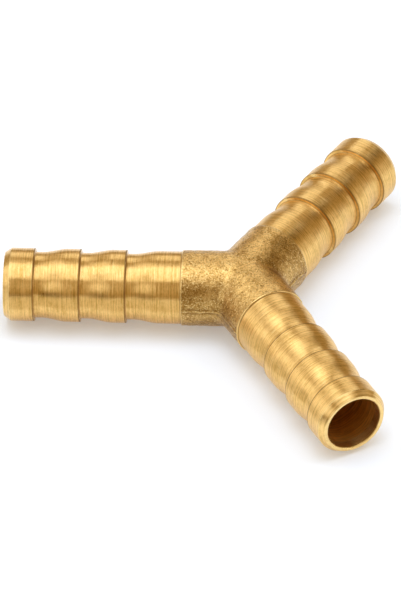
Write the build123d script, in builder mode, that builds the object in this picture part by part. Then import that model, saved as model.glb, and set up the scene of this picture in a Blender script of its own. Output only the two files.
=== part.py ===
from build123d import *

import os
from math import cos, radians, sin

# Forged brass Y connector for flexible tubing.
#
# One piece of brass: a hot-forged hub, where three equal arms meet at 120 degrees, and on each
# arm a hose tail that was turned on a lathe after forging and drilled through to the hub.
# The three axes lie in the XY plane and cross at the origin. One arm points along -X, and
# the other two open 60 degrees to either side of +X.

# Driving dimensions, in millimetres
CREST_DIAMETER = 13.5  # top of each barb, for tubing of 12.7 mm bore
BARB_DEPTH = 0.67  # from the crest down to the bottom of the neck behind it
NECK_WALL = 0.78  # metal left between a neck and the waterway
COLLAR_RELIEF = 0.05  # how much lower than the crest the plain length beside the hub is
HUB_STEP = 0.3  # how far the forged skin stands above that plain length
MOUTH_RING = 0.65  # width of the flat ring around the mouth

HUB_REACH = 11.2  # from the crossing of the axes to the turned step
COLLAR_LENGTH = 10.2  # from the turned step to the first shoulder
BARB_PITCH = 8.5  # from one shoulder to the next
TIP_LAND = 4.4  # cylindrical length of the outermost barb
TIP_BEVEL = 1.2  # axial length of the lead-in bevel
ROOT_FLAT = 1.3  # straight bottom of a neck, at the shoulder
NECK_RISE = 4.8  # axial length of the curve from root to crest

CROTCH_RADIUS = 2.6  # blend between two forged arms
STEP_BEVEL = 0.12  # broken edge where the forged skin meets the turned step
BORE_BREAK = 0.15  # broken edge inside the mouth
PARTING_HEIGHT = 0.14  # trimmed flash left standing along the die line
PARTING_WIDTH = 0.5  # thickness of that flash

ARM_ANGLES = (180, 60, -60)  # degrees from +X
BARB_COUNT = 3

# Stations along an arm, measured from the crossing of the axes
FIRST_SHOULDER = HUB_REACH + COLLAR_LENGTH
SHOULDERS = [FIRST_SHOULDER + number * BARB_PITCH for number in range(BARB_COUNT)]
BEVEL_START = SHOULDERS[-1] + TIP_LAND
ARM_LENGTH = BEVEL_START + TIP_BEVEL

# Radii, each taken from the crest
crest_radius = CREST_DIAMETER / 2
collar_radius = crest_radius - COLLAR_RELIEF
hub_radius = collar_radius + HUB_STEP
root_radius = crest_radius - BARB_DEPTH
bore_radius = root_radius - NECK_WALL
end_radius = bore_radius + MOUTH_RING


def arm_plane(angle, distance):
    """A plane square to the arm at this angle, with its normal pointing out of the arm."""
    outwards = Vector(cos(radians(angle)), sin(radians(angle)), 0)
    return Plane(origin=outwards * distance, x_dir=(0, 0, 1), z_dir=outwards)


# Forged hub: three round arms run together, with a rounded valley between each pair
with BuildPart() as hub:
    for arm_angle in ARM_ANGLES:
        with BuildSketch(arm_plane(arm_angle, 0)):
            Circle(hub_radius)
        extrude(amount=HUB_REACH)
    fillet(hub.edges().filter_by(GeomType.ELLIPSE), radius=CROTCH_RADIUS)
    arm_ends = hub.faces().filter_by(GeomType.PLANE)
    chamfer(arm_ends.edges(), length=STEP_BEVEL)

# Parting line: the flash that the two forging dies leave around the hub's outline
with BuildPart() as parting_line:
    with BuildSketch() as parting_outline:
        with PolarLocations(HUB_REACH / 2, len(ARM_ANGLES), start_angle=ARM_ANGLES[0]):
            Rectangle(HUB_REACH, 2 * (hub_radius + PARTING_HEIGHT))
        crotches = parting_outline.vertices().sort_by_distance((0, 0, 0))[: len(ARM_ANGLES)]
        fillet(crotches, radius=CROTCH_RADIUS)
    extrude(amount=PARTING_WIDTH / 2, both=True)

# Hose tail: one turned profile, drawn along +X, from the hub's step to the mouth
with BuildPart() as tail:
    with BuildSketch(Plane.XZ):
        with BuildLine():
            outline_at = (0, collar_radius)
            Polyline((0, 0), outline_at)
            for number, shoulder in enumerate(SHOULDERS):
                behind = collar_radius if number == 0 else crest_radius
                land_end = (shoulder - ROOT_FLAT - NECK_RISE, behind)
                neck_end = (shoulder - ROOT_FLAT, root_radius)
                Line(outline_at, land_end)
                Spline(land_end, neck_end, tangents=[(1, 0), (1, 0)])
                outline_at = (shoulder, crest_radius)
                Polyline(neck_end, (shoulder, root_radius), outline_at)
            mouth = (ARM_LENGTH, end_radius)
            Polyline(outline_at, (BEVEL_START, crest_radius), mouth, (ARM_LENGTH, 0), (0, 0))
        make_face()
    revolve(axis=Axis.X)

# The finished connector: tails carried on the hub, then drilled from each mouth to the middle
with BuildPart() as y_connector:
    add(hub.part)
    add(parting_line.part)
    for arm_angle in ARM_ANGLES:
        add(tail.part, rotation=(0, 0, arm_angle))
    with Locations(*[arm_plane(arm_angle, ARM_LENGTH) for arm_angle in ARM_ANGLES]):
        CounterSinkHole(
            radius=bore_radius,
            counter_sink_radius=bore_radius + BORE_BREAK,
            depth=ARM_LENGTH,
        )

y_connector.part.label = "y_connector"

os.makedirs("parts", exist_ok=True)
export_step(y_connector.part, "parts/y_connector.step")
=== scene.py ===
"""Brass Y connector for flexible tubing, as it comes off the lathe, and the studio it is shown in.

The connector is one piece of brass. Its hub keeps the skin of the forging, its three barbed
tails are turned, and a bore runs in from each mouth to the middle.
"""
from math import cos, hypot, pi, radians, sin, tan

import bpy
from bpy.props import (
    FloatProperty,
    FloatVectorProperty,
    IntProperty,
    PointerProperty,
)
from bpy.types import Operator, Panel, PropertyGroup
from mathutils import Matrix, Vector


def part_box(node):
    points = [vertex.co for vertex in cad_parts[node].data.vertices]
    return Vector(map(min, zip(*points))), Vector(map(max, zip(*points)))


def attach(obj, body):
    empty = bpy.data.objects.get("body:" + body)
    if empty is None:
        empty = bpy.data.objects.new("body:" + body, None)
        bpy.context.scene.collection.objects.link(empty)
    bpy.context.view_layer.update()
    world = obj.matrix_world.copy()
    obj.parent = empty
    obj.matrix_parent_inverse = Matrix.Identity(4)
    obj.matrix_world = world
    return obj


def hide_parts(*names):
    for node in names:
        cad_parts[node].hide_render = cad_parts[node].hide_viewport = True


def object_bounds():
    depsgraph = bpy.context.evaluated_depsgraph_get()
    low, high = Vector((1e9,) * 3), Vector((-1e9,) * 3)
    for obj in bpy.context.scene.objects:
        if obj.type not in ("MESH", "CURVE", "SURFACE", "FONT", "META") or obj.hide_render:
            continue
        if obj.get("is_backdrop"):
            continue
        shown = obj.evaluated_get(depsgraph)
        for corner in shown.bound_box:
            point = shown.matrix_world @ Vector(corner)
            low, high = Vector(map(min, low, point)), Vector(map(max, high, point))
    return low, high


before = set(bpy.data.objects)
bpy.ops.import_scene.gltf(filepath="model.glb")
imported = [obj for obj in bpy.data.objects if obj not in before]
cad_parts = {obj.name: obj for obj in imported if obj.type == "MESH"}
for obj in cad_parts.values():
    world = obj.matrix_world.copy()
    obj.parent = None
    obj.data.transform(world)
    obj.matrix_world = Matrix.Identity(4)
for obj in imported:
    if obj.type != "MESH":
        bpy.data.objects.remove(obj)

bl_info = {
    "name": "Brass Y Connector",
    "version": (1, 0, 0),
    "blender": (4, 5, 0),
    "location": "3D View > Sidebar > Y Connector",
    "description": "Builds a forged and turned brass Y connector for tubing, and its studio",
    "category": "Add Mesh",
}

NODE = "y_connector"
PIECE = "y_connector_body"
CAD_LOW, CAD_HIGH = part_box(NODE)
MM = 0.001

# Finishes along the outline of an arm, from the middle of the bore round to the hub
BORED, TURNED, FORGED = 0.0, 1.0, 2.0

# How finely the outline of an arm is drawn
WIDEST_STEP = 1.3 * MM
BESIDE_CORNER = 0.3 * MM
BESIDE_MOUTH = 0.15 * MM
BEHIND_CREST = (0.25 * MM, 0.55 * MM)
CORNER_STEPS = 3
NECK_STEPS = 14
BORED_SPANS, STRAIGHT_SPANS, VALLEY_SPANS = 22, 31, 11

# How far wear, the painted shade along each crest and the painted shade in the inner corners reach
# from the edge or corner that they follow
RUBBED_REACH = 0.26 * MM
CREST_SHADE_REACH = 0.28 * MM
CORNER_SHADE_REACH = 0.36 * MM

# Vertices closer than this are one, on a single arm and where the arms meet
ARM_WELD = 0.002 * MM
HUB_WELD = 0.003 * MM

# Offset between the patterns of two seeds, and between those of two arms
SEED_STEP = (13.7, 5.1, 0.0)
ARM_STEP = 61.7

# Height above and below the plane of the arms, in millimetres, under which the forged skin's
# flanks take their full painted shade and above which that shade is gone, and how far those
# heights wander
SIDE_SHADE_FULL, SIDE_SHADE_GONE, SIDE_SHADE_WANDER = 4.6, 6.2, 2.5

# Soft lights: heading and height in degrees, then distance and (width, height) in metres
LAMPS = {
    "overhead": (180, 83, 0.9, (0.92, 0.86)),
    "key": (-62, 53, 1.1, (0.84, 0.72)),
    "side": (-82, 17, 1.0, (0.65, 0.60)),
    "valley": (-130, 27, 1.0, (0.85, 0.50)),
    "right": (105, 16, 1.0, (0.70, 0.56)),
    "rear": (2, 33, 1.0, (0.46, 0.46)),
}
FILLS = {
    "fill_top": (0, 88, 1.1, (0.6, 0.6)),
    "fill_right": (70, 50, 1.1, (0.6, 0.6)),
}
FLOOR_HALF = 3.0
CARD_LIFT = 0.2 * MM


def length(name, description, default):
    """A distance setting, given in millimetres and kept in metres."""
    return FloatProperty(
        name=name, description=description, default=default * MM, min=0.0, precision=5,
        subtype="DISTANCE", unit="LENGTH",
    )


def angle(name, description, degrees):
    """A direction setting, given in degrees and kept in radians."""
    return FloatProperty(
        name=name, description=description, default=radians(degrees),
        subtype="ANGLE", unit="ROTATION",
    )


def colour(name, description, default):
    """A colour setting."""
    return FloatVectorProperty(
        name=name, description=description, default=default, size=3, min=0.0, max=1.0,
        subtype="COLOR",
    )


def share(name, description, default):
    """A setting that runs from 0 to 1."""
    return FloatProperty(
        name=name, description=description, default=default, min=0.0, max=1.0,
        subtype="FACTOR",
    )


def brightness(name, description, default):
    """How bright a light looks from the connector, where 1 is white."""
    return FloatProperty(name=name, description=description, default=default, min=0.0)


# Settings

class ConnectorSizes(PropertyGroup):
    """Sizes of the forged hub and of the three turned tails."""

    arm_length: FloatProperty(
        name="Arm Length", description="From the crossing of the axes to the mouth",
        default=-CAD_LOW.x, precision=5, subtype="DISTANCE", unit="LENGTH",
    )
    hub_radius: FloatProperty(
        name="Hub Radius", description="Forged arm, over its skin",
        default=CAD_HIGH.z, precision=5, subtype="DISTANCE", unit="LENGTH",
    )
    crest_radius: length("Crest Radius", "Top of each barb", 6.75)
    collar_radius: length("Collar Radius", "Plain turned length beside the hub", 6.7)
    barb_depth: length("Barb Depth", "From the crest down to the bottom of a neck", 0.67)
    bore_radius: length("Bore Radius", "Drilled waterway", 5.3)
    mouth_ring: length("Mouth Ring", "Width of the flat ring around the mouth", 0.65)
    hub_reach: length("Hub Reach", "From the crossing of the axes to the turned step", 11.2)
    collar_length: length("Collar Length", "From the turned step to the first shoulder", 10.2)
    barb_pitch: length("Barb Pitch", "From one shoulder to the next", 8.5)
    tip_land: length("Tip Land", "Plain length of the outermost barb", 4.4)
    root_flat: length("Root Flat", "Straight bottom of a neck, at the shoulder", 1.3)
    neck_rise: length("Neck Rise", "Length of the curve from root to crest", 4.8)
    crotch_radius: length("Crotch Radius", "Blend between two forged arms", 2.6)
    step_bevel: length("Step Bevel", "Broken edge of the skin at the turned step", 0.12)
    step_round: length("Step Round", "Inner corner of the hub's step", 0.10)
    root_round: length("Root Round", "Nose of the turning tool, under a barb", 0.18)
    crest_round: length("Crest Round", "Rubbed edge of a barb", 0.09)
    bevel_round: length("Bevel Round", "Rubbed edge where the end bevel starts", 0.10)
    end_round: length("End Round", "Rubbed edge between the end bevel and the mouth ring", 0.12)
    bore_break: length("Bore Break", "Broken edge inside the mouth", 0.15)
    break_round: length("Break Round", "Rounding of that broken edge", 0.04)
    tool_ring_depth: length("Tool Ring Depth", "Ring where the tool starts each curve", 0.018)
    tool_ring_half: length("Tool Ring Half", "Half the width of that ring", 0.08)
    barbs: IntProperty(name="Barbs", description="Barbs on each tail", default=3, min=1)
    arms: IntProperty(name="Arms", description="Equal arms around the hub", default=3, min=2)
    first_heading: angle("First Heading", "Direction of the first arm, from +X", 180)
    around: IntProperty(
        name="Around", description="Steps around an arm, a multiple of four", default=160, min=8,
    )
    crowding: share("Crowding", "How far the steps crowd towards the parting line", 0.55)


class ForgedSkin(PropertyGroup):
    """Relief of the skin that the dies leave on the hub."""

    parting_height: length("Parting Height", "Trimmed flash along the die line", 0.14)
    parting_width: length("Parting Width", "Thickness of that flash", 0.5)
    parting_wander: length("Parting Wander", "How far the flash strays up and down", 0.5)
    dent_size: length("Dent Size", "Distance from one shallow dent to the next", 3.4)
    dent_depth: length("Dent Depth", "Height from the dents to the swells", 0.16)
    scale_size: length("Scale Size", "Distance between marks of scale", 0.95)
    scale_depth: length("Scale Depth", "Depth of the marks of scale", 0.06)
    seed: IntProperty(name="Seed", description="Picks one pattern of dents", default=7)


class BrassFinish(PropertyGroup):
    """Colours and gloss of the metal."""

    bright: colour("Fresh Brass", "Freshly cut metal", (0.95, 0.62, 0.225))
    dull: colour("Dull Brass", "Metal that has begun to tarnish", (0.63, 0.375, 0.095))
    # This colour paints dark specks of oil, and also the painted shade in the inner corners and
    # along each crest
    grime_and_shade: colour("Grime", "Old oil in the inner corners and tool marks", (0.24, 0.125, 0.03))
    # This colour paints rubbed edges, bright scratches and the trimmed flash, and also the painted
    # glints on the forged skin
    edge: colour("Rubbed Edge", "Metal rubbed bright on the outer edges", (1.0, 0.77, 0.35))
    skin: colour("Forged Brass", "Skin of the forging", (0.48, 0.265, 0.062))
    skin_bright: colour("Forged Brass on Swells", "Skin where it is rubbed", (0.95, 0.62, 0.22))
    # This colour paints scale in the pits and the darker foot of the flash, and also the painted
    # shade on the hub's flanks
    skin_dark_and_shade: colour("Forged Brass in Pits", "Scale left in the pits", (0.20, 0.095, 0.019))
    # How much painted shade darkens the forged skin's flanks, away from its top and underside
    sides: share("Darker Sides", "How much darker the skin stays where it isn't rubbed", 0.40)
    bore: colour("Bored Brass", "Wall of the waterway", (0.80, 0.40, 0.075))
    bore_dull: colour("Dull Bored Brass", "Wall where the drill rubbed", (0.52, 0.23, 0.03))
    turned_roughness: share("Turned Roughness", "Gloss of the turned metal", 0.32)
    tool_grain: share("Tool Grain", "How far gloss is drawn out along the arm", 0.75)
    skin_roughness: share("Forged Roughness", "Gloss of the forged skin", 0.32)
    bore_roughness: share("Bored Roughness", "Gloss of the waterway", 0.5)
    bore_metal: share("Bored Metal", "How much of the waterway's light is gloss", 0.75)


class StudioSettings(PropertyGroup):
    """Floor, lamps, cards and camera."""

    floor_colour: colour("Floor", "Plain pale floor", (0.91, 0.95, 0.98))
    floor_glow: share("Floor Glow", "How much of the floor's white is its own", 0.25)
    room: colour("Room", "Warm light that comes from all around", (0.44, 0.32, 0.15))
    lamps: colour("Lamps", "Colour of the soft lights, cool beside the room", (0.72, 0.82, 1.0))
    overhead: brightness("Overhead", "Wide soft light overhead", 1.7)
    key: brightness("Key", "High light behind, at the left", 1.25)
    side: brightness("Side", "Low light at the left", 1.3)
    valley: brightness("Valley", "Low light at the front left", 1.34)
    right: brightness("Right", "Low light at the right", 1.15)
    rear: brightness("Rear", "Small light behind", 1.5)
    fill: brightness("Fill", "Lights that only the floor needs", 2.7)
    # Cards glow with these colours and only the metal's reflections see them: painted dark
    # reflections, and a painted reflection of the floor
    card_front: colour("Front Card", "Low dark card at the front left", (0.10, 0.055, 0.015))
    card_right: colour("Right Card", "High dark card behind, at the right", (0.12, 0.07, 0.02))
    card_floor: colour("Floor Card", "Grey card on the floor, front left", (0.80, 0.76, 0.68))
    azimuth: angle("Azimuth", "Where the camera stands, from -Y towards +X", 3.767)
    elevation: angle("Elevation", "Height of the camera above the horizon", 38.88)
    roll: angle("Roll", "Turn of the camera about its line of sight", -1.139)
    distance: FloatProperty(
        name="Distance", description="From the camera to the point it looks at",
        default=1.3, subtype="DISTANCE", unit="LENGTH",
    )
    look_at: FloatVectorProperty(
        name="Look At", description="Point in the middle of the picture",
        default=(-0.007612, -0.003664, 0.0), size=3, precision=5, subtype="XYZ",
    )
    lens: FloatProperty(
        name="Lens", description="Focal length", default=422.5, min=1.0,
        subtype="DISTANCE_CAMERA", unit="CAMERA",
    )


# Node trees

class Wires:
    """Adds nodes to a tree and joins them up."""

    rows, column_width, row_height = 6, 190, 170

    def __init__(self, tree):
        self.tree = tree
        self.count = 0

    def node(self, kind, inputs=None, **settings):
        """A node with these settings; an input is given a value or another node's output."""
        made = self.tree.nodes.new(kind)
        self.count += 1
        column, row = divmod(self.count, self.rows)
        made.location = (column * self.column_width, -row * self.row_height)
        for name, value in settings.items():
            setattr(made, name, value)
        for key, value in (inputs or {}).items():
            self.feed(made.inputs[key], value)
        return made

    def feed(self, socket, value):
        """Sets a socket, or joins it to another node's output."""
        if isinstance(value, bpy.types.NodeSocket):
            self.tree.links.new(value, socket)
        else:
            socket.default_value = value

    def math(self, operation, *values):
        """One step of arithmetic on numbers."""
        return self.node(
            "ShaderNodeMath", dict(enumerate(values)), operation=operation
        ).outputs[0]

    def product(self, first, *others):
        """Numbers multiplied together."""
        for value in others:
            first = self.math("MULTIPLY", first, value)
        return first

    def total(self, first, *others):
        """Numbers added up."""
        for value in others:
            first = self.math("ADD", first, value)
        return first

    def weighted(self, *terms):
        """Patterns added up, each given with the number it is multiplied by."""
        return self.total(*(self.math("MULTIPLY", pattern, weight) for pattern, weight in terms))

    def swing(self, pattern, amount):
        """A pattern's rise and fall about its middle, times an amount."""
        return self.math("MULTIPLY", self.math("SUBTRACT", pattern, 0.5), amount)

    def vector(self, operation, *values):
        """One step of arithmetic on vectors."""
        return self.node(
            "ShaderNodeVectorMath", dict(enumerate(values)), operation=operation
        ).outputs["Vector"]

    def scaled(self, vector, factor):
        """A vector times a number."""
        return self.node(
            "ShaderNodeVectorMath", {"Vector": vector, "Scale": factor}, operation="SCALE"
        ).outputs["Vector"]

    def joined(self, x, y, z):
        """A vector from three numbers."""
        return self.node("ShaderNodeCombineXYZ", {"X": x, "Y": y, "Z": z}).outputs[0]

    def split(self, vector):
        """The three numbers of a vector."""
        return self.node("ShaderNodeSeparateXYZ", {"Vector": vector}).outputs

    def eased(self, value, low, high, at_low=0.0, at_high=1.0):
        """A smooth step from one level to another as value goes from low to high."""
        return self.node(
            "ShaderNodeMapRange",
            {"Value": value, "From Min": low, "From Max": high,
             "To Min": at_low, "To Max": at_high},
            interpolation_type="SMOOTHSTEP",
        ).outputs["Result"]

    def noise(self, where, scale=1.0, detail=2.0, roughness=0.5):
        """A cloudy pattern in space, from 0 to 1."""
        return self.node(
            "ShaderNodeTexNoise",
            {"Vector": where, "Scale": scale, "Detail": detail, "Roughness": roughness},
        ).outputs[0]

    def rings(self, along, scale, detail=2.0, roughness=0.5):
        """A pattern that changes along one line only, from 0 to 1."""
        return self.node(
            "ShaderNodeTexNoise",
            {"W": along, "Scale": scale, "Detail": detail, "Roughness": roughness},
            noise_dimensions="1D",
        ).outputs[0]

    def painted(self, fraction, under, top):
        """A colour, with another laid over it as far as fraction says."""
        under, top = (
            value if isinstance(value, bpy.types.NodeSocket) else (*value, 1.0)
            for value in (under, top)
        )
        return self.node(
            "ShaderNodeMix", {0: fraction, 6: under, 7: top}, data_type="RGBA"
        ).outputs[2]

    def named(self, name, kind="FLOAT"):
        """What a geometry keeps under this name."""
        return self.node(
            "GeometryNodeInputNamedAttribute", {"Name": name}, data_type=kind
        ).outputs["Attribute"]

    def stored(self, geometry, name, value, kind="FLOAT", domain="POINT"):
        """The same geometry, which now keeps a value under this name."""
        return self.node(
            "GeometryNodeStoreNamedAttribute",
            {"Geometry": geometry, "Name": name, "Value": value},
            data_type=kind, domain=domain,
        ).outputs[0]

    def welded(self, geometry, distance):
        """The same geometry, with vertices that lie together made one."""
        return self.node(
            "GeometryNodeMergeByDistance", {"Geometry": geometry, "Distance": distance}
        ).outputs[0]


# Outline of one arm

def rounded(corners):
    """Points along a line of corners, each corner given as (along, radius, rounding)."""
    points = []
    for index, (x, r, rounding) in enumerate(corners):
        if rounding == 0 or index in (0, len(corners) - 1):
            points.append((x, r))
            continue
        here = Vector((x, r))
        back = (Vector(corners[index - 1][:2]) - here).normalized()
        on = (Vector(corners[index + 1][:2]) - here).normalized()
        opening = back.angle(on)
        reach = rounding / tan(opening / 2)
        centre = here + (back + on).normalized() * rounding / sin(opening / 2)
        first = here + back * reach - centre
        turn = first.angle_signed(here + on * reach - centre)
        for step in range(CORNER_STEPS + 1):
            swing = Matrix.Rotation(-turn * step / CORNER_STEPS, 2) @ first
            points.append(tuple(centre + swing))
    return points


def with_supports(points, beside):
    """The same line with extra points beside its corners and along its long runs."""
    full = [points[0]]
    for start, end in zip(points, points[1:]):
        run = hypot(end[0] - start[0], end[1] - start[1])
        marks = []
        if run > 4 * beside:
            spans = max(1, round((run - 2 * beside) / WIDEST_STEP))
            marks = [beside + (run - 2 * beside) * k / spans for k in range(spans + 1)]
        for mark in marks:
            t = mark / run
            full.append((start[0] + (end[0] - start[0]) * t, start[1] + (end[1] - start[1]) * t))
        full.append(end)
    return full


def neck(start, end):
    """The curve down from a crest to the bottom of a neck."""
    points = []
    for step in range(1, NECK_STEPS + 1):
        t = step / NECK_STEPS
        ease = t * t * (3 - 2 * t)
        points.append((start[0] + (end[0] - start[0]) * t, start[1] + (end[1] - start[1]) * ease))
    return points


def shoulders(size):
    """Distance of each shoulder from the crossing of the axes."""
    first = size.hub_reach + size.collar_length
    return [first + number * size.barb_pitch for number in range(size.barbs)]


def turned_outline(size):
    """Points of the turned metal from the hub's step out to the last crest, hub side first."""
    root = size.crest_radius - size.barb_depth
    ring = size.tool_ring_half
    points = rounded([
        (size.hub_reach, size.hub_radius - size.step_bevel, 0),
        (size.hub_reach, size.collar_radius, size.step_round),
        (size.hub_reach + size.collar_length, size.collar_radius, 0),
    ])[:-1]
    land = size.collar_radius
    for shoulder in shoulders(size):
        bottom = shoulder - size.root_flat
        curve_start = bottom - size.neck_rise
        points += with_supports([points[-1], (curve_start - ring, land)], BESIDE_CORNER)[1:]
        points += [(curve_start, land - size.tool_ring_depth), (curve_start + ring, land)]
        points += neck((curve_start + ring, land), (bottom, root))
        points += rounded([
            (bottom, root, 0),
            (shoulder, root, size.root_round),
            (shoulder, size.crest_radius, size.crest_round),
            (shoulder + size.tip_land, size.crest_radius, 0),
        ])[1:-1]
        points += [(shoulder + beyond, size.crest_radius) for beyond in BEHIND_CREST]
        land = size.crest_radius
    return points


def arm_outline(size):
    """Stations from the middle of the bore, out through the mouth and back to the hub's seam.

    Each is (along, radius, finish, blend, skin). Blend runs from 0 to 1 over the rolled
    valley between two arms, and skin is how much of the forging's relief a station takes.
    """
    last_shoulder = shoulders(size)[-1]
    broken = size.arm_length - size.bore_break
    mouth = with_supports(
        rounded([
            (broken - size.tip_land, size.bore_radius, 0),
            (broken, size.bore_radius, size.break_round),
            (size.arm_length, size.bore_radius + size.bore_break, size.break_round),
            (size.arm_length, size.bore_radius + size.mouth_ring, size.end_round),
            (last_shoulder + size.tip_land, size.crest_radius, size.bevel_round),
            (last_shoulder + BEHIND_CREST[-1], size.crest_radius, 0),
        ])[1:],
        BESIDE_MOUTH,
    )
    turned = mouth[:-1] + turned_outline(size)[::-1]
    bored = [(mouth[0][0] * k / BORED_SPANS, size.bore_radius) for k in range(BORED_SPANS)]
    stations = [(x, r, BORED, 0.0, 0.0) for x, r in bored]
    stations += [(x, r, TURNED, 0.0, 0.0) for x, r in turned]
    skin_end = size.hub_reach - size.step_bevel
    for k in range(STRAIGHT_SPANS + 1):
        x = skin_end * (1 - k / STRAIGHT_SPANS)
        stations.append((x, size.hub_radius, FORGED, 0.0, 1.0))
    for k in range(1, VALLEY_SPANS + 1):
        stations.append((0.0, size.hub_radius, FORGED, k / VALLEY_SPANS, 1.0))
    return stations


def closeness(place, marks, reach):
    """1 at the nearest of some marks on the outline, falling to 0 at reach from it."""
    nearest = min(hypot(place[0] - x, place[1] - r) for x, r in marks)
    return max(0.0, 1 - nearest / reach)


def outline_object(size):
    """The arm's outline as a line of vertices that carry its finish, its wear and where shade is
    painted.
    """
    stations = arm_outline(size)
    barbs = shoulders(size)
    root = size.crest_radius - size.barb_depth
    half_bevel = size.step_bevel / 2
    edges = [
        (barbs[-1] + size.tip_land, size.crest_radius),
        (size.arm_length, size.bore_radius + size.mouth_ring),
        (size.arm_length, size.bore_radius + size.bore_break),
        (size.hub_reach - half_bevel, size.hub_radius - half_bevel),
    ]
    crests = [(x + size.crest_round, size.crest_radius) for x in barbs]
    corners = [(x, root) for x in barbs] + [(size.hub_reach, size.collar_radius)]
    mesh = bpy.data.meshes.new("arm_outline")
    mesh.from_pydata(
        [(x, r, 0.0) for x, r, *_ in stations],
        [(k, k + 1) for k in range(len(stations) - 1)], [],
    )
    columns = {
        "finish": [station[2] for station in stations],
        "blend": [station[3] for station in stations],
        "skin": [station[4] for station in stations],
        "edge_wear": [closeness(station, edges, RUBBED_REACH) for station in stations],
        # Where shade is painted: a thin line along each crest, and the inner corners
        "crest_line": [closeness(station, crests, CREST_SHADE_REACH) for station in stations],
        "corner_grime": [closeness(station, corners, CORNER_SHADE_REACH) for station in stations],
    }
    for name, values in columns.items():
        mesh.attributes.new(name, "FLOAT", "POINT").data.foreach_set("value", values)
    outline = bpy.data.objects.new("arm_outline", mesh)
    bpy.context.scene.collection.objects.link(outline)
    return outline, len(stations)


# The connector's shape: one arm spun from its outline, three arms around the hub

TREE_INPUTS = {
    "Outline": "NodeSocketObject",
    "Stations": "NodeSocketInt",
    "Around": "NodeSocketInt",
    "Crowding": "NodeSocketFloat",
    "Arms": "NodeSocketInt",
    "First Heading": "NodeSocketFloat",
    "Hub Radius": "NodeSocketFloat",
    "Skin Length": "NodeSocketFloat",
    "Crotch Radius": "NodeSocketFloat",
    "Bore Radius": "NodeSocketFloat",
    "Bore Length": "NodeSocketFloat",
    "Parting Height": "NodeSocketFloat",
    "Parting Width": "NodeSocketFloat",
    "Parting Wander": "NodeSocketFloat",
    "Dent Size": "NodeSocketFloat",
    "Dent Depth": "NodeSocketFloat",
    "Scale Size": "NodeSocketFloat",
    "Scale Depth": "NodeSocketFloat",
    "Seed": "NodeSocketInt",
}


def spun_arm(w, given):
    """One arm: a sheet of vertices wrapped around its axis, cut off where it meets the next."""
    # One row for each station of the outline, one column for each step around
    columns = w.math("ADD", given["Around"], 1.0)
    sheet = w.node("GeometryNodeMeshGrid", {
        "Size X": 1.0, "Size Y": 1.0, "Vertices X": given["Stations"], "Vertices Y": columns,
    }).outputs["Mesh"]
    u, v, _ = w.split(w.node("GeometryNodeInputPosition").outputs[0])
    last = w.math("SUBTRACT", given["Stations"], 1.0)
    station = w.math("ROUND", w.product(w.math("ADD", u, 0.5), last))
    even = w.product(w.math("ADD", v, 0.5), 2 * pi)
    crowd = w.product(w.math("SINE", w.product(even, 2.0)), given["Crowding"], 0.5)
    turn = w.math("SUBTRACT", even, crowd)
    across, height = w.math("COSINE", turn), w.math("SINE", turn)

    # What the outline says at that station
    outline = w.node(
        "GeometryNodeObjectInfo", {"Object": given["Outline"]}, transform_space="ORIGINAL"
    ).outputs["Geometry"]

    def drawn(value, kind="FLOAT"):
        return w.node(
            "GeometryNodeSampleIndex",
            {"Geometry": outline, "Value": value, "Index": station},
            data_type=kind, domain="POINT",
        ).outputs[0]

    along, radius, _ = w.split(
        drawn(w.node("GeometryNodeInputPosition").outputs[0], "FLOAT_VECTOR")
    )
    finish, blend = drawn(w.named("finish")), drawn(w.named("blend"))
    forged = w.math("GREATER_THAN", finish, (TURNED + FORGED) / 2)
    bored = w.math("LESS_THAN", finish, (BORED + TURNED) / 2)
    turned = w.math("SUBTRACT", w.math("SUBTRACT", 1.0, forged), bored)

    # Two arms of one radius meet on the plane between them, this far out from the middle
    width = w.math("ABSOLUTE", across)
    slope = w.math("TANGENT", w.math("DIVIDE", pi / 2, given["Arms"]))

    def stretched(start, full):
        kept = w.math("SUBTRACT", 1.0, w.math("DIVIDE", start, full))
        return w.math("ADD", start, w.product(along, kept))

    bore_seam = w.product(slope, given["Bore Radius"], width)
    ball_path = w.math("ADD", given["Hub Radius"], given["Crotch Radius"])
    valley_edge = w.product(slope, ball_path, width)
    plain = w.joined(
        w.weighted(
            (bored, stretched(bore_seam, given["Bore Length"])),
            (forged, stretched(valley_edge, given["Skin Length"])),
            (turned, along),
        ),
        w.product(radius, width), w.product(radius, height),
    )

    # The valley between two arms is rolled by a ball that touches both
    ball = w.joined(valley_edge, w.product(ball_path, width), w.product(ball_path, height))
    this_wall = w.joined(0.0, width, height)
    double_turn = w.product(w.math("ARCTANGENT", slope), 2.0)
    other_wall = w.joined(
        w.product(w.math("SINE", double_turn), width),
        w.product(w.math("COSINE", double_turn), width),
        height,
    )
    half = w.product(blend, 0.5)
    between = w.vector(
        "ADD", w.scaled(this_wall, w.math("SUBTRACT", 1.0, half)), w.scaled(other_wall, half)
    )
    touch = w.scaled(w.vector("NORMALIZE", between), given["Crotch Radius"])
    rolled = w.vector("SUBTRACT", ball, touch)
    in_valley = w.math("GREATER_THAN", blend, 0.0)
    x, y, z = w.split(w.node(
        "ShaderNodeMix", {0: in_valley, 4: plain, 5: rolled}, data_type="VECTOR"
    ).outputs[1])
    side = w.math("SUBTRACT", w.product(w.math("GREATER_THAN", across, 0.0), 2.0), 1.0)

    # Each arm keeps its own coordinates and the outline's notes for the finishes, the wear and the
    # painted shade
    shape = sheet
    for name in ("finish", "skin", "edge_wear", "crest_line", "corner_grime"):
        shape = w.stored(shape, name, drawn(w.named(name)))
    shape = w.stored(shape, "arm_place", w.joined(x, w.product(y, side), z), "FLOAT_VECTOR")
    shape = w.node("GeometryNodeSetPosition", {
        "Geometry": shape, "Position": w.named("arm_place", "FLOAT_VECTOR"),
    }).outputs[0]
    return w.welded(shape, ARM_WELD)


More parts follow.
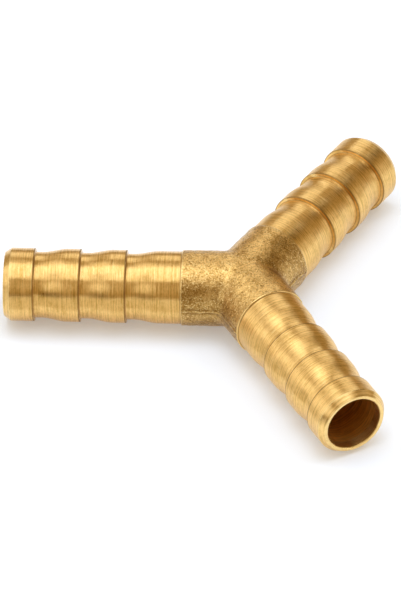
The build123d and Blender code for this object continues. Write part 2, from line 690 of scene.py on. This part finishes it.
def arms_around(w, given, arm):
    """Equal arms around the vertical axis, joined into one shell."""
    points = w.node("GeometryNodePoints", {"Count": given["Arms"]}).outputs[0]
    number = w.node("GeometryNodeInputIndex").outputs[0]
    step = w.math("DIVIDE", w.product(number, 2 * pi), given["Arms"])
    heading = w.math("ADD", given["First Heading"], step)
    turn = w.node("FunctionNodeEulerToRotation", {"Euler": w.joined(0.0, 0.0, heading)}).outputs[0]
    placed = w.node("GeometryNodeInstanceOnPoints", {
        "Points": points, "Instance": arm, "Rotation": turn,
    }).outputs[0]
    placed = w.stored(placed, "arm_number", number, domain="INSTANCE")
    direction = w.joined(w.math("COSINE", heading), w.math("SINE", heading), 0.0)
    placed = w.stored(placed, "arm_direction", direction, "FLOAT_VECTOR", "INSTANCE")
    whole = w.node("GeometryNodeRealizeInstances", {"Geometry": placed}).outputs[0]
    return w.welded(whole, HUB_WELD)


def with_forged_relief(w, given, whole):
    """Relief of the forging: shallow dents, marks of scale, and the trimmed flash."""
    spot = w.node("GeometryNodeInputPosition").outputs[0]
    shift = w.scaled(SEED_STEP, given["Seed"])
    skin = w.named("skin")

    def cloud(size, detail):
        where = w.vector("ADD", w.scaled(spot, w.math("DIVIDE", 1.0, size)), shift)
        return w.noise(where, detail=detail)

    dents = w.swing(cloud(given["Dent Size"], 2.0), given["Dent Depth"])
    marks = w.eased(cloud(given["Scale Size"], 3.0), 0.38, 0.62, at_low=-1.0, at_high=0.0)
    marks = w.product(marks, given["Scale Depth"])

    # The flash stands on the plane of the arms, wanders a little and breaks off in places
    wander = w.swing(cloud(given["Dent Size"], 3.0), given["Parting Wander"])
    off_line = w.math("ABSOLUTE", w.math("ADD", w.split(spot)[2], wander))
    off_line = w.math("DIVIDE", off_line, given["Parting Width"])
    crown = w.eased(off_line, 0.30, 0.62, at_low=1.0, at_high=0.0)
    foot = w.eased(off_line, 0.5, 2.2, at_low=1.0, at_high=0.0)
    ragged = cloud(w.product(given["Scale Size"], 1.6), 2.0)
    ragged = w.eased(ragged, 0.38, 0.62, at_low=0.0, at_high=1.2)
    flash = w.product(crown, given["Parting Height"], ragged)

    relief = w.product(w.total(dents, marks, flash), skin)
    whole = w.stored(whole, "flash_crown", w.product(crown, skin))
    whole = w.stored(whole, "flash_foot", w.product(foot, skin))
    offset = w.scaled(w.node("GeometryNodeInputNormal").outputs[0], relief)
    return w.node("GeometryNodeSetPosition", {"Geometry": whole, "Offset": offset}).outputs[0]


def connector_tree(bored, turned, forged):
    """The whole shape, with one material for each finish."""
    tree = bpy.data.node_groups.new("forged_and_turned_y", "GeometryNodeTree")
    tree.interface.new_socket(name="Mesh", in_out="OUTPUT", socket_type="NodeSocketGeometry")
    for name, kind in TREE_INPUTS.items():
        tree.interface.new_socket(name=name, in_out="INPUT", socket_type=kind)
    w = Wires(tree)
    given = w.node("NodeGroupInput").outputs
    whole = with_forged_relief(w, given, arms_around(w, given, spun_arm(w, given)))
    whole = w.node("GeometryNodeSetShadeSmooth", {"Geometry": whole}).outputs[0]
    whole = w.node("GeometryNodeRealizeInstances", {"Geometry": whole}).outputs[0]

    # A face takes the mean finish of its corners, and counts as turned where two finishes meet
    finish = w.named("finish")
    for above, material in ((-1.0, bored), (0.45, turned), (1.55, forged)):
        chosen = w.node(
            "FunctionNodeCompare", {0: finish, 1: above},
            data_type="FLOAT", operation="GREATER_THAN",
        ).outputs[0]
        whole = w.node(
            "GeometryNodeSetMaterial",
            {"Geometry": whole, "Selection": chosen, "Material": material},
        ).outputs[0]
    w.node("NodeGroupOutput", {0: whole})
    return tree


# Finishes

def metal(name):
    """A new metallic material, with its wires and its shader."""
    material = bpy.data.materials.new(name)
    material.use_nodes = True
    shader = material.node_tree.nodes["Principled BSDF"]
    shader.inputs["Metallic"].default_value = 1.0
    return material, Wires(material.node_tree), shader


def attribute(w, name, output="Fac"):
    """What the mesh keeps under this name."""
    return w.node("ShaderNodeAttribute", attribute_name=name).outputs[output]


def millimetres(w):
    """The place on the connector, in millimetres."""
    return w.scaled(w.node("ShaderNodeTexCoord").outputs["Object"], 1 / MM)


def arm_coordinates(w):
    """Distance along the arm in millimetres, unlike on each arm, and the place across it."""
    along, across, height = w.split(w.scaled(attribute(w, "arm_place", "Vector"), 1 / MM))
    along = w.math("ADD", along, w.product(attribute(w, "arm_number"), ARM_STEP))
    return along, across, height


def drawn_round(w, place, along, around):
    """Arm coordinates for a pattern that changes this often in a millimetre, each way."""
    x, y, z = place
    return w.joined(w.product(x, along), w.product(y, around), w.product(z, around))


def bumped(w, shader, heights):
    """Gives a shader the relief of these heights, in millimetres."""
    bump = w.node("ShaderNodeBump", {"Height": heights, "Strength": 1.0, "Distance": MM})
    w.feed(shader.inputs["Normal"], bump.outputs[0])


def turned_brass(finish):
    """Fine rings of the turning tool, drawn out round the arm, on satin metal."""
    material, w, shader = metal("turned_brass")
    place = arm_coordinates(w)
    feed = w.rings(place[0], scale=3.4, detail=3.0, roughness=0.65)
    chatter = w.rings(place[0], scale=0.9)
    drag = w.noise(drawn_round(w, place, along=4.8, around=0.19), detail=4.0, roughness=0.66)
    fleck = w.noise(drawn_round(w, place, along=3.2, around=1.5), detail=3.0, roughness=0.7)
    scratch = w.noise(drawn_round(w, place, along=7.0, around=0.45), detail=0.0)
    cloud = w.noise(millimetres(w), scale=0.30, detail=3.0, roughness=0.6)

    streak = w.weighted((feed, 0.35), (drag, 0.65))
    tone = w.eased(w.weighted((streak, 0.64), (cloud, 0.14), (fleck, 0.22)), 0.40, 0.58)
    base = w.painted(tone, finish.dull, finish.bright)

    # Dark specks of oil, painted shade in the inner corners, and a thin line of painted shade
    # along each crest
    specks = w.eased(fleck, 0.62, 0.80, at_high=0.25)
    crest_shade = w.eased(attribute(w, "crest_line"), 0.3, 0.7, at_high=0.85)
    crest_shade = w.product(crest_shade, w.eased(drag, 0.30, 0.55, at_low=0.55))
    grime_and_shade = w.eased(attribute(w, "corner_grime"), 0.40, 0.85, at_high=0.6)
    grime_and_shade = w.math("MAXIMUM", grime_and_shade, crest_shade)
    base = w.painted(w.math("MAXIMUM", specks, grime_and_shade), base, finish.grime_and_shade)

    # Bright scratches and rubbed edges
    wear = w.math(
        "MAXIMUM", w.product(attribute(w, "edge_wear"), 0.5),
        w.eased(scratch, 0.70, 0.80, at_high=0.5),
    )
    w.feed(shader.inputs["Base Color"], w.painted(wear, base, finish.edge))

    rough = w.total(
        w.swing(streak, 0.20), w.swing(cloud, 0.16), w.product(grime_and_shade, 0.20),
        w.product(wear, -0.08), finish.turned_roughness,
    )
    w.feed(shader.inputs["Roughness"], rough)
    shader.inputs["Anisotropic"].default_value = finish.tool_grain
    w.feed(shader.inputs["Tangent"], attribute(w, "arm_direction", "Vector"))
    bumped(w, shader, w.weighted((feed, 0.014), (drag, 0.020), (chatter, 0.010), (fleck, 0.018)))
    return material


def forged_brass(finish):
    """Blasted skin of the forging: grainy, darker in the pits, rubbed bright on its swells, with
    painted shade on its flanks and painted glints.
    """
    material, w, shader = metal("forged_brass")
    spot = millimetres(w)
    grain = w.noise(spot, scale=3.0, detail=3.0, roughness=0.6)
    blotch = w.noise(spot, scale=0.9, detail=3.0, roughness=0.6)
    cloud = w.noise(spot, scale=0.26, detail=3.0, roughness=0.6)
    chips = w.noise(spot, scale=1.3, detail=2.0, roughness=0.6)
    glint = w.noise(spot, scale=4.0, detail=1.0)

    tone = w.eased(w.weighted((grain, 0.45), (blotch, 0.25), (cloud, 0.30)), 0.40, 0.62)
    base = w.painted(tone, finish.skin, finish.skin_bright)

    # Painted shade darkens the skin's flanks, away from its top and underside; the pits stay dark
    # too
    height = w.total(w.math("ABSOLUTE", w.split(spot)[2]), w.swing(cloud, SIDE_SHADE_WANDER))
    shaded_sides = w.eased(height, SIDE_SHADE_FULL, SIDE_SHADE_GONE, at_low=finish.sides, at_high=0.0)
    base = w.painted(shaded_sides, base, finish.skin_dark_and_shade)
    pits = w.eased(w.weighted((grain, 0.6), (blotch, 0.4)), 0.34, 0.47, at_low=1.0, at_high=0.0)
    base = w.painted(w.product(pits, 0.5), base, finish.skin_dark_and_shade)
    # Painted glints: bright specks laid into the skin's colour to stand in for sparkle
    base = w.painted(w.eased(glint, 0.57, 0.70, at_high=0.75), base, finish.edge)

    # The flash is bright where it was trimmed, and darker along its foot
    crown = attribute(w, "flash_crown")
    trimmed = w.product(crown, w.eased(chips, 0.50, 0.64, at_high=0.8))
    foot = w.math("SUBTRACT", attribute(w, "flash_foot"), crown)
    foot = w.product(foot, w.eased(blotch, 0.40, 0.60, at_low=0.15, at_high=0.9))
    base = w.painted(foot, base, finish.skin_dark_and_shade)
    wear = w.math("MAXIMUM", attribute(w, "edge_wear"), trimmed)
    w.feed(shader.inputs["Base Color"], w.painted(w.product(wear, 0.7), base, finish.edge))

    rough = w.total(
        w.product(pits, 0.14), w.swing(cloud, 0.2), w.product(wear, -0.08), finish.skin_roughness
    )
    w.feed(shader.inputs["Roughness"], rough)
    bumped(w, shader, w.weighted((grain, 0.075), (blotch, 0.05), (glint, 0.026)))
    return material


def bored_brass(finish):
    """Wall of the waterway, with the drill's rings and a darker, redder metal."""
    material, w, shader = metal("bored_brass")
    shader.inputs["Metallic"].default_value = finish.bore_metal
    place = arm_coordinates(w)
    feed = w.rings(place[0], scale=2.4, detail=3.0, roughness=0.6)
    drag = w.noise(drawn_round(w, place, along=4.0, around=0.35), detail=3.0, roughness=0.6)
    tone = w.eased(w.weighted((feed, 0.4), (drag, 0.6)), 0.36, 0.64)
    w.feed(shader.inputs["Base Color"], w.painted(tone, finish.bore_dull, finish.bore))
    w.feed(shader.inputs["Roughness"], w.total(w.swing(drag, 0.2), finish.bore_roughness))
    bumped(w, shader, w.weighted((feed, 0.012), (drag, 0.010)))
    return material


# Studio

def towards(azimuth, elevation, distance):
    """A point at a heading from the connector: 0 is behind it, 90 is at its right."""
    azimuth, elevation = radians(azimuth), radians(elevation)
    level = distance * cos(elevation)
    return Vector((level * sin(azimuth), level * cos(azimuth), distance * sin(elevation)))


def soft_light(name, azimuth, elevation, distance, size, strength, tint):
    """A soft rectangular light that faces the connector and looks this bright from it."""
    data = bpy.data.lights.new(name, "AREA")
    data.shape = "RECTANGLE"
    data.size, data.size_y = size
    data.energy = pi * size[0] * size[1] * strength
    data.color = tint
    lamp = bpy.data.objects.new(name, data)
    lamp.location = towards(azimuth, elevation, distance)
    lamp.rotation_euler = (-lamp.location).to_track_quat("-Z", "Y").to_euler()
    bpy.context.scene.collection.objects.link(lamp)
    return lamp


def flat_sheet(name, wide, high, level=0.0):
    """A rectangle around the origin, with an empty material to be filled in."""
    x, y = wide / 2, high / 2
    mesh = bpy.data.meshes.new(name)
    mesh.from_pydata(
        [(-x, -y, level), (x, -y, level), (x, y, level), (-x, y, level)], [], [(0, 1, 2, 3)]
    )
    material = bpy.data.materials.new(name)
    material.use_nodes = True
    material.node_tree.nodes.clear()
    mesh.materials.append(material)
    sheet = bpy.data.objects.new(name, mesh)
    bpy.context.scene.collection.objects.link(sheet)
    return sheet, Wires(material.node_tree)


def card(name, place, size, tone, flat=False):
    """A card that glows with its tone, facing the connector or lying flat, that only the metal's
    reflections see: a painted reflection.
    """
    sheet, w = flat_sheet(name, *size)
    sheet.location = place
    if not flat:
        sheet.rotation_euler = sheet.location.to_track_quat("-Z", "Y").to_euler()
    glow = w.node("ShaderNodeEmission", {"Color": (*tone, 1.0), "Strength": 1.0})
    w.node("ShaderNodeOutputMaterial", {"Surface": glow.outputs[0]})
    sheet.visible_camera = False
    sheet.visible_diffuse = False
    sheet.visible_shadow = False
    sheet.visible_transmission = False
    sheet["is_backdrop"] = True


def pale_floor(studio, ground):
    """A floor that keeps the connector's shadow and looks white beyond it."""
    floor, w = flat_sheet("floor", 2 * FLOOR_HALF, 2 * FLOOR_HALF, ground)
    lit = w.node("ShaderNodeBsdfDiffuse", {"Color": (*studio.floor_colour, 1.0)})
    glow = w.node("ShaderNodeEmission", {"Color": (1.0, 1.0, 1.0, 1.0), "Strength": 1.0})
    rays = w.node("ShaderNodeLightPath").outputs
    seen = w.math("MAXIMUM", rays["Is Camera Ray"], rays["Is Glossy Ray"])
    seen = w.math("MAXIMUM", seen, rays["Is Transmission Ray"])
    both = w.node("ShaderNodeMixShader", {
        0: w.product(seen, studio.floor_glow), 1: lit.outputs[0], 2: glow.outputs[0],
    })
    w.node("ShaderNodeOutputMaterial", {"Surface": both.outputs[0]})
    floor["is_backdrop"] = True


def studio_camera(studio):
    """A long lens at the photograph's angle."""
    data = bpy.data.cameras.new("camera")
    data.lens = studio.lens
    data.clip_start, data.clip_end = 0.05, 20.0
    az, el, roll = studio.azimuth, studio.elevation, studio.roll
    back = Vector((sin(az) * cos(el), -cos(az) * cos(el), sin(el)))
    right = Vector((cos(az), sin(az), 0.0))
    up = back.cross(right)
    across = right * cos(roll) + up * sin(roll)
    upright = up * cos(roll) - right * sin(roll)
    turn = Matrix((across, upright, back)).transposed()
    camera = bpy.data.objects.new("camera", data)
    camera.matrix_world = (
        Matrix.Translation(Vector(studio.look_at) + back * studio.distance) @ turn.to_4x4()
    )
    bpy.context.scene.collection.objects.link(camera)
    return camera


# Operators

class YCONNECTOR_OT_body(Operator):
    """Build the brass Y connector: forged hub, three turned tails and their bores"""

    bl_idname = "y_connector.body"
    bl_label = "Brass Y Connector"

    def execute(self, context):
        scene = context.scene
        size, skin, finish = scene.connector_sizes, scene.forged_skin, scene.brass_finish
        outline, stations = outline_object(size)
        tree = connector_tree(bored_brass(finish), turned_brass(finish), forged_brass(finish))
        draft = bpy.data.objects.new("draft", bpy.data.meshes.new("draft"))
        scene.collection.objects.link(draft)
        modifier = draft.modifiers.new("shape", "NODES")
        modifier.node_group = tree
        values = {
            "Outline": outline,
            "Stations": stations,
            "Around": size.around,
            "Crowding": size.crowding,
            "Arms": size.arms,
            "First Heading": size.first_heading,
            "Hub Radius": size.hub_radius,
            "Skin Length": size.hub_reach - size.step_bevel,
            "Crotch Radius": size.crotch_radius,
            "Bore Radius": size.bore_radius,
            "Bore Length": size.arm_length - size.bore_break,
            "Parting Height": skin.parting_height,
            "Parting Width": skin.parting_width,
            "Parting Wander": skin.parting_wander,
            "Dent Size": skin.dent_size,
            "Dent Depth": skin.dent_depth,
            "Scale Size": skin.scale_size,
            "Scale Depth": skin.scale_depth,
            "Seed": skin.seed,
        }
        for item in tree.interface.items_tree:
            if item.in_out == "INPUT":
                modifier[item.identifier] = values[item.name]
        context.view_layer.update()
        evaluated = draft.evaluated_get(context.evaluated_depsgraph_get())
        mesh = bpy.data.meshes.new_from_object(evaluated)
        mesh.name = PIECE
        piece = bpy.data.objects.new(PIECE, mesh)
        scene.collection.objects.link(piece)
        bpy.data.objects.remove(draft)
        bpy.data.objects.remove(outline)
        if not mesh.polygons:
            raise RuntimeError("the connector's shape came out empty")
        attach(piece, "root")
        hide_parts(NODE)
        return {"FINISHED"}


class YCONNECTOR_OT_studio(Operator):
    """Set out the pale floor, the soft lights, the cards and the camera"""

    bl_idname = "y_connector.studio"
    bl_label = "Studio"

    def execute(self, context):
        scene = context.scene
        studio = scene.studio_settings
        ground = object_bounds()[0].z
        pale_floor(studio, ground)

        world = bpy.data.worlds.new("studio")
        world.use_nodes = True
        world.node_tree.nodes["Background"].inputs["Color"].default_value = (*studio.room, 1.0)
        scene.world = world

        for name, (azimuth, elevation, distance, size) in LAMPS.items():
            soft_light(
                name, azimuth, elevation, distance, size, getattr(studio, name), studio.lamps
            )
        for name, (azimuth, elevation, distance, size) in FILLS.items():
            fill = soft_light(
                name, azimuth, elevation, distance, size, studio.fill, studio.lamps
            )
            fill.visible_glossy = False
        # Painted reflections: two dark glowing cards, and a grey glowing card lying on the floor,
        # seen only in the metal
        card(
            "card_front", place=(-0.078, -0.099, 0.006), size=(0.070, 0.026),
            tone=studio.card_front,
        )
        card(
            "card_floor", place=(-0.058, -0.056, ground + CARD_LIFT), size=(0.100, 0.088),
            tone=studio.card_floor, flat=True,
        )
        card(
            "card_right", place=towards(55, 44, 0.9), size=(0.44, 0.46),
            tone=studio.card_right,
        )

        scene.camera = studio_camera(studio)
        scene.view_settings.view_transform = "Standard"
        return {"FINISHED"}


class YCONNECTOR_PT_sidebar(Panel):
    """Settings of the connector and its studio"""

    bl_idname = "YCONNECTOR_PT_sidebar"
    bl_label = "Y Connector"
    bl_space_type = "VIEW_3D"
    bl_region_type = "UI"
    bl_category = "Y Connector"

    def draw(self, context):
        layout = self.layout
        for title, group, operator in (
            ("Sizes", context.scene.connector_sizes, None),
            ("Forged Skin", context.scene.forged_skin, None),
            ("Brass", context.scene.brass_finish, YCONNECTOR_OT_body.bl_idname),
            ("Studio", context.scene.studio_settings, YCONNECTOR_OT_studio.bl_idname),
        ):
            box = layout.box()
            box.label(text=title)
            for name in group.__annotations__:
                box.prop(group, name)
            if operator:
                box.operator(operator)


SETTINGS = {
    "connector_sizes": ConnectorSizes,
    "forged_skin": ForgedSkin,
    "brass_finish": BrassFinish,
    "studio_settings": StudioSettings,
}
CLASSES = (*SETTINGS.values(), YCONNECTOR_OT_body, YCONNECTOR_OT_studio, YCONNECTOR_PT_sidebar)


def register():
    """Make the settings, the operators and the panel known."""
    for cls in CLASSES:
        bpy.utils.register_class(cls)
    for name, cls in SETTINGS.items():
        setattr(bpy.types.Scene, name, PointerProperty(type=cls))


def unregister():
    """Take them away again."""
    for name in SETTINGS:
        delattr(bpy.types.Scene, name)
    for cls in reversed(CLASSES):
        bpy.utils.unregister_class(cls)


def main():
    """Build the connector and its studio."""
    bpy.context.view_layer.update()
    register()
    bpy.ops.y_connector.body()
    bpy.ops.y_connector.studio()


if __name__ == "__main__":
    main()
